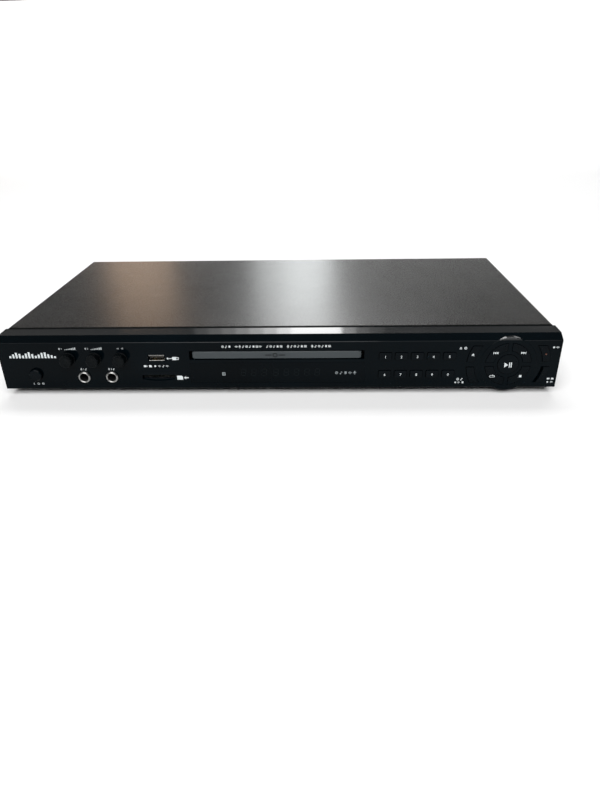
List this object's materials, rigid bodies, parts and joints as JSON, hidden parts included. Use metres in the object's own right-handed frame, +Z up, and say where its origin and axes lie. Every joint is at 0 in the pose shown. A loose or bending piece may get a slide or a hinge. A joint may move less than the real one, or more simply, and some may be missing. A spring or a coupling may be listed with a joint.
{
  "type": "karaoke player",
  "caption": "Low, wide karaoke player in a folded steel case, with a glossy front panel, disc tray, microphone jacks, volume knobs and a round control cluster.",
  "frame": {"origin": "middle of the footprint, on the surface the feet stand on", "axes": "+X to the right seen from the front, +Y to the back, +Z up"},
  "size_m": [0.43, 0.239, 0.0496],
  "materials": {
    "cover_paint": "satin, fine grain",
    "sheet_steel": "zinc-coated sheet",
    "fascia_gloss": "gloss",
    "key_gloss": "gloss",
    "knob_plastic": "satin",
    "window_smoke": "smoked, polished",
    "door_grey": "semi-gloss",
    "tray_plastic": "satin",
    "black_rubber": "matte",
    "screw_steel": "plated",
    "bright_chrome": "polished",
    "shell_steel": "tinned",
    "black_plastic": "matte",
    "display_glass": "dark glass on a board",
    "loader_plastic": "matte",
    "gear_plastic": "matte",
    "board_green": "solder mask",
    "board_brown": "bare phenolic board"
  },
  "bodies": {
    "case": {"base_chassis": "sheet_steel", "top_cover": "cover_paint", "front_fascia": "fascia_gloss", "display_window": "window_smoke", "feet": "black_rubber", "screws": "screw_steel", "volume_pots": "shell_steel", "front_boards": "board_green", "key_switches": "black_plastic", "display_module": "display_glass", "mic_jacks": "black_plastic", "jack_rings": "bright_chrome", "usb_socket": "shell_steel", "card_socket": "shell_steel", "loader_frame": "loader_plastic", "clamp_bridge": "sheet_steel", "loading_motor": "shell_steel", "loading_belt": "black_rubber", "main_board": "board_green", "power_board": "board_brown", "phono_sockets": "black_plastic", "mains_inlet": "black_plastic"},
    "number_key_0": {"number_key_0": "key_gloss"},
    "number_key_1": {"number_key_1": "key_gloss"},
    "number_key_2": {"number_key_2": "key_gloss"},
    "number_key_3": {"number_key_3": "key_gloss"},
    "number_key_4": {"number_key_4": "key_gloss"},
    "number_key_5": {"number_key_5": "key_gloss"},
    "number_key_6": {"number_key_6": "key_gloss"},
    "number_key_7": {"number_key_7": "key_gloss"},
    "number_key_8": {"number_key_8": "key_gloss"},
    "number_key_9": {"number_key_9": "key_gloss"},
    "play_pause_key": {"play_pause_key": "key_gloss"},
    "previous_key": {"previous_key": "key_gloss"},
    "next_key": {"next_key": "key_gloss"},
    "repeat_key": {"repeat_key": "key_gloss"},
    "stop_key": {"stop_key": "key_gloss"},
    "eject_key": {"eject_key": "key_gloss"},
    "disc_record_key": {"disc_record_key": "key_gloss"},
    "record_key": {"record_key": "key_gloss"},
    "usb_record_key": {"usb_record_key": "key_gloss"},
    "power_button": {"power_button": "key_gloss"},
    "mic1_volume": {"mic1_knob": "knob_plastic", "mic1_shaft": "screw_steel"},
    "mic2_volume": {"mic2_knob": "knob_plastic", "mic2_shaft": "screw_steel"},
    "echo_level": {"echo_knob": "knob_plastic", "echo_shaft": "screw_steel"},
    "tray": {"disc_tray": "tray_plastic", "tray_door": "door_grey"},
    "tray_gear": {"tray_gear": "gear_plastic"},
    "pulley_gear": {"pulley_gear": "gear_plastic"},
    "motor_pulley": {"motor_pulley": "gear_plastic"},
    "traverse": {"traverse_frame": "sheet_steel", "traverse_motors": "shell_steel", "guide_rods": "bright_chrome"},
    "turntable": {"turntable": "black_plastic"},
    "pickup": {"optical_pickup": "black_plastic"},
    "lead_screw": {"lead_screw": "bright_chrome"},
    "clamp_puck": {"clamp_puck": "tray_plastic"}
  },
  "joints": [
    {"name": "number_key_0_press", "type": "slide", "parent": "case", "child": "number_key_0", "axis": [0, 1, 0], "range_m": [0, 0.0006], "stiffness_N_per_m": 1500, "springref_m": -0.0004},
    {"name": "number_key_1_press", "type": "slide", "parent": "case", "child": "number_key_1", "axis": [0, 1, 0], "range_m": [0, 0.0006], "stiffness_N_per_m": 1500, "springref_m": -0.0004},
    {"name": "number_key_2_press", "type": "slide", "parent": "case", "child": "number_key_2", "axis": [0, 1, 0], "range_m": [0, 0.0006], "stiffness_N_per_m": 1500, "springref_m": -0.0004},
    {"name": "number_key_3_press", "type": "slide", "parent": "case", "child": "number_key_3", "axis": [0, 1, 0], "range_m": [0, 0.0006], "stiffness_N_per_m": 1500, "springref_m": -0.0004},
    {"name": "number_key_4_press", "type": "slide", "parent": "case", "child": "number_key_4", "axis": [0, 1, 0], "range_m": [0, 0.0006], "stiffness_N_per_m": 1500, "springref_m": -0.0004},
    {"name": "number_key_5_press", "type": "slide", "parent": "case", "child": "number_key_5", "axis": [0, 1, 0], "range_m": [0, 0.0006], "stiffness_N_per_m": 1500, "springref_m": -0.0004},
    {"name": "number_key_6_press", "type": "slide", "parent": "case", "child": "number_key_6", "axis": [0, 1, 0], "range_m": [0, 0.0006], "stiffness_N_per_m": 1500, "springref_m": -0.0004},
    {"name": "number_key_7_press", "type": "slide", "parent": "case", "child": "number_key_7", "axis": [0, 1, 0], "range_m": [0, 0.0006], "stiffness_N_per_m": 1500, "springref_m": -0.0004},
    {"name": "number_key_8_press", "type": "slide", "parent": "case", "child": "number_key_8", "axis": [0, 1, 0], "range_m": [0, 0.0006], "stiffness_N_per_m": 1500, "springref_m": -0.0004},
    {"name": "number_key_9_press", "type": "slide", "parent": "case", "child": "number_key_9", "axis": [0, 1, 0], "range_m": [0, 0.0006], "stiffness_N_per_m": 1500, "springref_m": -0.0004},
    {"name": "play_pause_key_press", "type": "slide", "parent": "case", "child": "play_pause_key", "axis": [0, 1, 0], "range_m": [0, 0.0006], "stiffness_N_per_m": 1500, "springref_m": -0.0004},
    {"name": "previous_key_press", "type": "slide", "parent": "case", "child": "previous_key", "axis": [0, 1, 0], "range_m": [0, 0.0006], "stiffness_N_per_m": 1500, "springref_m": -0.0004},
    {"name": "next_key_press", "type": "slide", "parent": "case", "child": "next_key", "axis": [0, 1, 0], "range_m": [0, 0.0006], "stiffness_N_per_m": 1500, "springref_m": -0.0004},
    {"name": "repeat_key_press", "type": "slide", "parent": "case", "child": "repeat_key", "axis": [0, 1, 0], "range_m": [0, 0.0006], "stiffness_N_per_m": 1500, "springref_m": -0.0004},
    {"name": "stop_key_press", "type": "slide", "parent": "case", "child": "stop_key", "axis": [0, 1, 0], "range_m": [0, 0.0006], "stiffness_N_per_m": 1500, "springref_m": -0.0004},
    {"name": "eject_key_press", "type": "slide", "parent": "case", "child": "eject_key", "axis": [0, 1, 0], "range_m": [0, 0.0006], "stiffness_N_per_m": 1500, "springref_m": -0.0004},
    {"name": "disc_record_key_press", "type": "slide", "parent": "case", "child": "disc_record_key", "axis": [0, 1, 0], "range_m": [0, 0.0006], "stiffness_N_per_m": 1500, "springref_m": -0.0004},
    {"name": "record_key_press", "type": "slide", "parent": "case", "child": "record_key", "axis": [0, 1, 0], "range_m": [0, 0.0006], "stiffness_N_per_m": 1500, "springref_m": -0.0004},
    {"name": "usb_record_key_press", "type": "slide", "parent": "case", "child": "usb_record_key", "axis": [0, 1, 0], "range_m": [0, 0.0006], "stiffness_N_per_m": 1500, "springref_m": -0.0004},
    {"name": "power_button_press", "type": "slide", "parent": "case", "child": "power_button", "axis": [0, 1, 0], "range_m": [0, 0.0015], "stiffness_N_per_m": 1500, "springref_m": -0.0004},
    {"name": "mic1_volume_turn", "type": "hinge", "parent": "case", "child": "mic1_volume", "pos_m": [-0.1602, -0.111, 0.032], "axis": [0, 1, 0], "range_deg": [-150, 150]},
    {"name": "mic2_volume_turn", "type": "hinge", "parent": "case", "child": "mic2_volume", "pos_m": [-0.13985, -0.111, 0.032], "axis": [0, 1, 0], "range_deg": [-150, 150]},
    {"name": "echo_level_turn", "type": "hinge", "parent": "case", "child": "echo_level", "pos_m": [-0.1195, -0.111, 0.032], "axis": [0, 1, 0], "range_deg": [-150, 150]},
    {"name": "tray_slide", "type": "slide", "parent": "case", "child": "tray", "axis": [0, -1, 0], "range_m": [0, 0.128]},
    {"name": "tray_gear_turn", "type": "hinge", "parent": "case", "child": "tray_gear", "pos_m": [-0.0473, -0.069, 0.0235], "axis": [0, 0, 1], "range_deg": [0, 617]},
    {"name": "pulley_gear_turn", "type": "hinge", "parent": "case", "child": "pulley_gear", "pos_m": [-0.0293, -0.069, 0.0235], "axis": [0, 0, 1], "range_deg": [-1228, 0]},
    {"name": "motor_pulley_turn", "type": "hinge", "parent": "case", "child": "motor_pulley", "pos_m": [0.0047, -0.069, 0.0235], "axis": [0, 0, 1], "range_deg": [-3847, 0]},
    {"name": "traverse_tip", "type": "hinge", "parent": "case", "child": "traverse", "pos_m": [0.0005, 0.057, 0.0225], "axis": [1, 0, 0], "range_deg": [0, 4.5]},
    {"name": "turntable_spin", "type": "hinge", "parent": "traverse", "child": "turntable", "pos_m": [0.0005, -0.033, 0.0355], "axis": [0, 0, 1], "continuous": true},
    {"name": "pickup_slide", "type": "slide", "parent": "traverse", "child": "pickup", "axis": [0, 1, 0], "range_m": [0, 0.035]},
    {"name": "lead_screw_turn", "type": "hinge", "parent": "traverse", "child": "lead_screw", "pos_m": [0.0305, 0.009, 0.024], "axis": [0, 1, 0], "range_deg": [0, 4205]},
    {"name": "clamp_puck_spin", "type": "hinge", "parent": "case", "child": "clamp_puck", "pos_m": [0.0005, -0.033, 0.0405], "axis": [0, 0, 1], "continuous": true}
  ],
  "couplings": [
    {"joint": "tray_gear_turn", "follows": "tray_slide", "rad_per_m": 83.333},
    {"joint": "pulley_gear_turn", "follows": "tray_slide", "rad_per_m": -166.67},
    {"joint": "motor_pulley_turn", "follows": "tray_slide", "rad_per_m": -523.81},
    {"joint": "lead_screw_turn", "follows": "pickup_slide", "rad_per_m": 2094.4}
  ]
}
